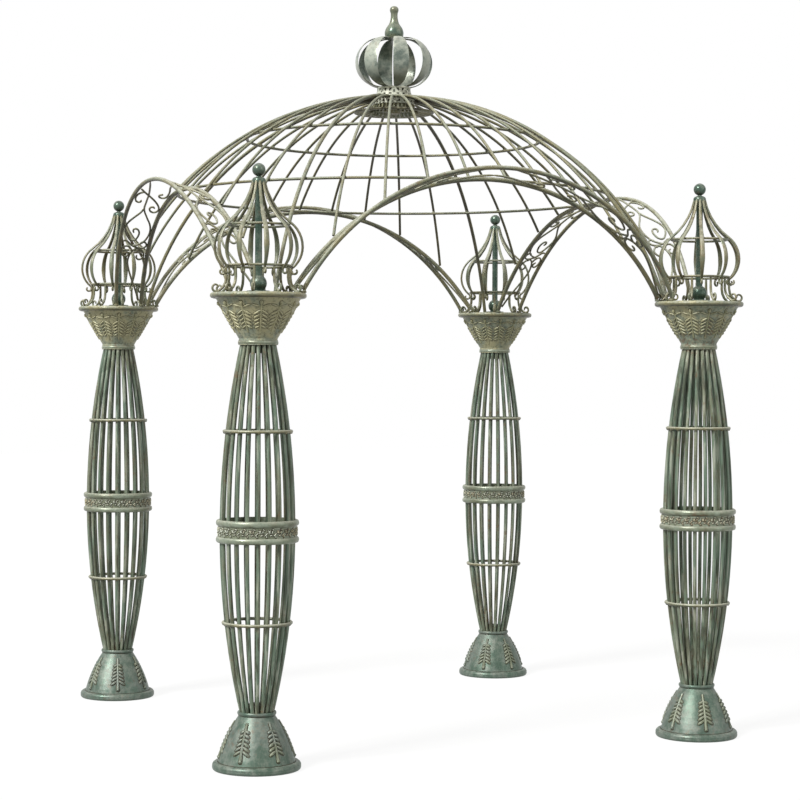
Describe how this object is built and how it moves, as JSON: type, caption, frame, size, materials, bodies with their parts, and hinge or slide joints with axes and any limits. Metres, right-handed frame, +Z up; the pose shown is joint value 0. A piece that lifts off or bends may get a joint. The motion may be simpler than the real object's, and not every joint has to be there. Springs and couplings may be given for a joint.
{
  "type": "round gazebo",
  "caption": "Open iron garden gazebo: cage posts on bell feet carry a ribbed dome with scrolled arch visors, onion cages over the posts and a strap ball on top.",
  "frame": {"origin": "on the ground at the middle of the gazebo", "axes": "+Z up along the dome's axis, -Y through the front archway, +X through the right archway"},
  "size_m": [2.3538, 2.3538, 3.1827],
  "materials": {
    "foot_paint": "satin verdigris paint, rubbed pale on the edges",
    "rod_paint": "satin verdigris paint, rubbed pale on the edges",
    "band_paint": "satin verdigris paint, rubbed pale on the edges",
    "capital_paint": "satin verdigris paint, rubbed pale on the edges",
    "onion_paint": "satin verdigris paint, rubbed pale on the edges",
    "spindle_paint": "satin verdigris paint, rubbed pale on the edges",
    "arch_paint": "satin verdigris paint, rubbed pale on the edges",
    "scroll_paint": "satin verdigris paint, rubbed pale on the edges",
    "rib_paint": "satin verdigris paint, rubbed pale on the edges",
    "crown_paint": "satin verdigris paint, rubbed pale on the edges"
  },
  "bodies": {
    "root": {"front_left_foot": "foot_paint", "front_left_rods": "rod_paint", "front_left_bands": "band_paint", "front_left_capital": "capital_paint", "front_left_onion": "onion_paint", "front_left_spindle": "spindle_paint", "front_right_foot": "foot_paint", "front_right_rods": "rod_paint", "front_right_bands": "band_paint", "front_right_capital": "capital_paint", "front_right_onion": "onion_paint", "front_right_spindle": "spindle_paint", "back_left_foot": "foot_paint", "back_left_rods": "rod_paint", "back_left_bands": "band_paint", "back_left_capital": "capital_paint", "back_left_onion": "onion_paint", "back_left_spindle": "spindle_paint", "back_right_foot": "foot_paint", "back_right_rods": "rod_paint", "back_right_bands": "band_paint", "back_right_capital": "capital_paint", "back_right_onion": "onion_paint", "back_right_spindle": "spindle_paint", "front_arch": "arch_paint", "front_scrolls": "scroll_paint", "front_ribs": "rib_paint", "back_arch": "arch_paint", "back_scrolls": "scroll_paint", "back_ribs": "rib_paint", "left_arch": "arch_paint", "left_scrolls": "scroll_paint", "left_ribs": "rib_paint", "right_arch": "arch_paint", "right_scrolls": "scroll_paint", "right_ribs": "rib_paint", "corner_ribs": "rib_paint", "dome_hoops": "rib_paint", "crown_hub": "crown_paint", "crown_collar": "crown_paint", "crown_straps": "crown_paint", "crown_finial": "crown_paint"}
  },
  "joints": []
}
